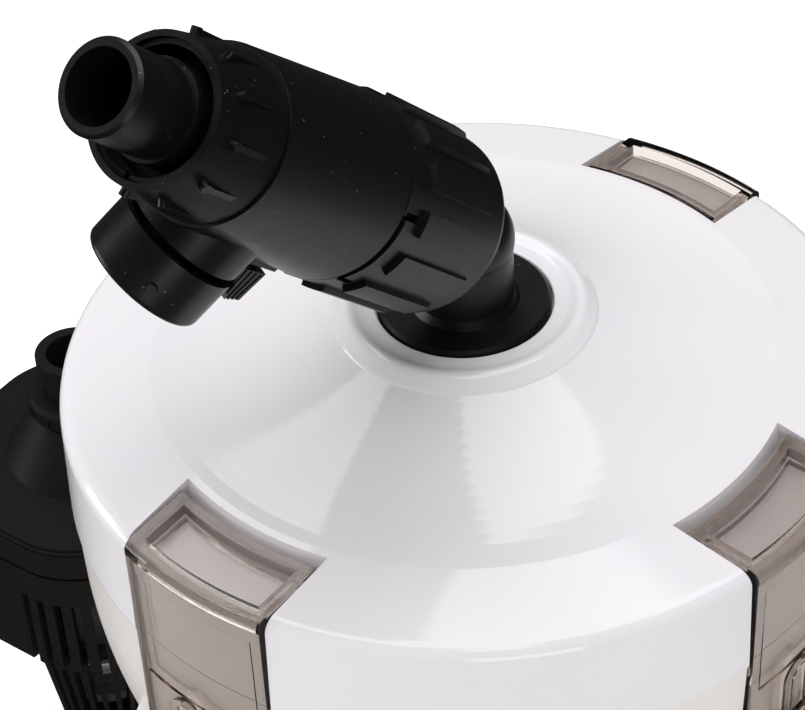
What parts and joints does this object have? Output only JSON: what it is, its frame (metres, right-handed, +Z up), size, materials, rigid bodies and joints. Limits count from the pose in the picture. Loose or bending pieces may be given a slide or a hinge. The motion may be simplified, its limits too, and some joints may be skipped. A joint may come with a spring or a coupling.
{
  "type": "aquarium canister filter",
  "caption": "Round aquarium canister filter with a clip-on lid, a swivelling hose valve with a tap, and a small black motor pump held to its side.",
  "frame": {"origin": "canister's axis at the floor, under the base pad", "axes": "+Z up along the canister's axis; +X towards the right clip, -Y towards the front clip and, within a degree, the hose valve; the pump stands on the -X side"},
  "size_m": [0.2308, 0.1736, 0.3028],
  "materials": {
    "lid_white": "glossy injection-moulded plastic",
    "container_white": "semi-gloss injection-moulded plastic",
    "smoky_clear": "smoky transparent plastic, polished",
    "valve_black": "satin black plastic",
    "knob_black": "gloss black plastic",
    "pump_black": "fine matt black plastic",
    "tray_grey": "matt grey plastic",
    "seal_rubber": "smooth black rubber",
    "cup_rubber": "soft dark rubber, smooth",
    "pad_rubber": "matt rubber",
    "ceramic": null,
    "sponge_blue": "open-cell foam",
    "sponge_white": "fine fibre pad",
    "steel": "stainless steel",
    "magnet": "plastic-bonded magnet",
    "stator": "coil and core potted in resin",
    "impeller_white": "plain moulded plastic"
  },
  "bodies": {
    "canister": {"base_pad": "pad_rubber", "container": "container_white", "bottom_grid": "tray_grey", "lower_basket": "tray_grey", "upper_basket": "tray_grey", "ceramic_rings": "ceramic", "coarse_sponge": "sponge_blue", "fine_sponge": "sponge_white", "inlet_tube": "tray_grey", "return_nozzle": "valve_black", "return_seal": "seal_rubber", "return_nut": "valve_black", "lid": "lid_white", "lid_seal": "seal_rubber", "clip_pins": "steel"},
    "front_clip": {"clip_front": "smoky_clear"},
    "right_clip": {"clip_right": "smoky_clear"},
    "back_clip": {"clip_back": "smoky_clear"},
    "left_clip": {"clip_left": "smoky_clear"},
    "hose_valve": {"elbow": "valve_black", "elbow_seal": "seal_rubber", "elbow_nut": "valve_black", "coupling_seal": "seal_rubber", "valve_body": "valve_black", "plug_gland": "valve_black", "latch_spring": "steel"},
    "grip_ring": {"coupling_ring": "valve_black"},
    "tap": {"valve_plug": "tray_grey", "plug_seal": "seal_rubber", "tap_knob": "knob_black"},
    "latch": {"latch_tab": "valve_black"},
    "nozzle_nut": {"hose_nut": "valve_black", "clamp_ring": "valve_black"},
    "pump": {"pump_housing": "pump_black", "pump_cover": "pump_black", "cover_seal": "seal_rubber", "cover_screws": "steel", "outlet_nozzle": "pump_black", "outlet_seal": "seal_rubber", "strainer_cap": "pump_black", "stator_block": "stator", "rotor_can": "tray_grey", "shaft_bushes": "impeller_white", "volute_plate": "tray_grey", "cable_gland": "pump_black", "suction_cups": "cup_rubber"},
    "pump_nut": {"outlet_nut": "pump_black"},
    "rotor": {"rotor_magnet": "magnet", "impeller": "impeller_white", "rotor_shaft": "steel"}
  },
  "joints": [
    {"name": "front_clip_hinge", "type": "hinge", "parent": "canister", "child": "front_clip", "pos_m": [0, -0.0826, 0.132], "axis": [1, 0, 0], "range_deg": [0, 70]},
    {"name": "right_clip_hinge", "type": "hinge", "parent": "canister", "child": "right_clip", "pos_m": [0.0826, 0, 0.132], "axis": [0, 1, 0], "range_deg": [0, 70]},
    {"name": "back_clip_hinge", "type": "hinge", "parent": "canister", "child": "back_clip", "pos_m": [0, 0.0826, 0.132], "axis": [-1, 0, 0], "range_deg": [0, 70]},
    {"name": "left_clip_hinge", "type": "hinge", "parent": "canister", "child": "left_clip", "pos_m": [-0.0826, 0, 0.132], "axis": [0, -1, 0], "range_deg": [0, 70]},
    {"name": "valve_swivel", "type": "hinge", "parent": "canister", "child": "hose_valve", "pos_m": [0, 0, 0.2], "axis": [0, 0, 1], "continuous": true},
    {"name": "grip_ring_turn", "type": "hinge", "parent": "hose_valve", "child": "grip_ring", "pos_m": [-0.00044, -0.02524, 0.24265], "axis": [-0.0126, -0.721, 0.6928], "range_deg": [0, 45]},
    {"name": "tap_turn", "type": "hinge", "parent": "hose_valve", "child": "tap", "pos_m": [-0.00088, -0.05054, 0.26696], "axis": [-0.397, -0.6323, -0.6653], "range_deg": [0, 90]},
    {"name": "latch_press", "type": "slide", "parent": "hose_valve", "child": "latch", "axis": [0.397, 0.6323, 0.6653], "range_m": [0, 0.0012], "stiffness_N_per_m": 800, "springref_m": -0.0005},
    {"name": "nozzle_nut_turn", "type": "hinge", "parent": "hose_valve", "child": "nozzle_nut", "pos_m": [-0.00116, -0.06634, 0.28214], "axis": [-0.0126, -0.721, 0.6928], "continuous": true},
    {"name": "pump_pull", "type": "slide", "parent": "canister", "child": "pump", "axis": [-0.9962, -0.0872, 0], "range_m": [0, 0.04]},
    {"name": "pump_nut_turn", "type": "hinge", "parent": "pump", "child": "pump_nut", "pos_m": [-0.11138, -0.00854, 0.125], "axis": [0, 0, 1], "continuous": true},
    {"name": "rotor_spin", "type": "hinge", "parent": "pump", "child": "rotor", "pos_m": [-0.10073, -0.02236, 0.06], "axis": [0, 0, 1], "continuous": true}
  ]
}
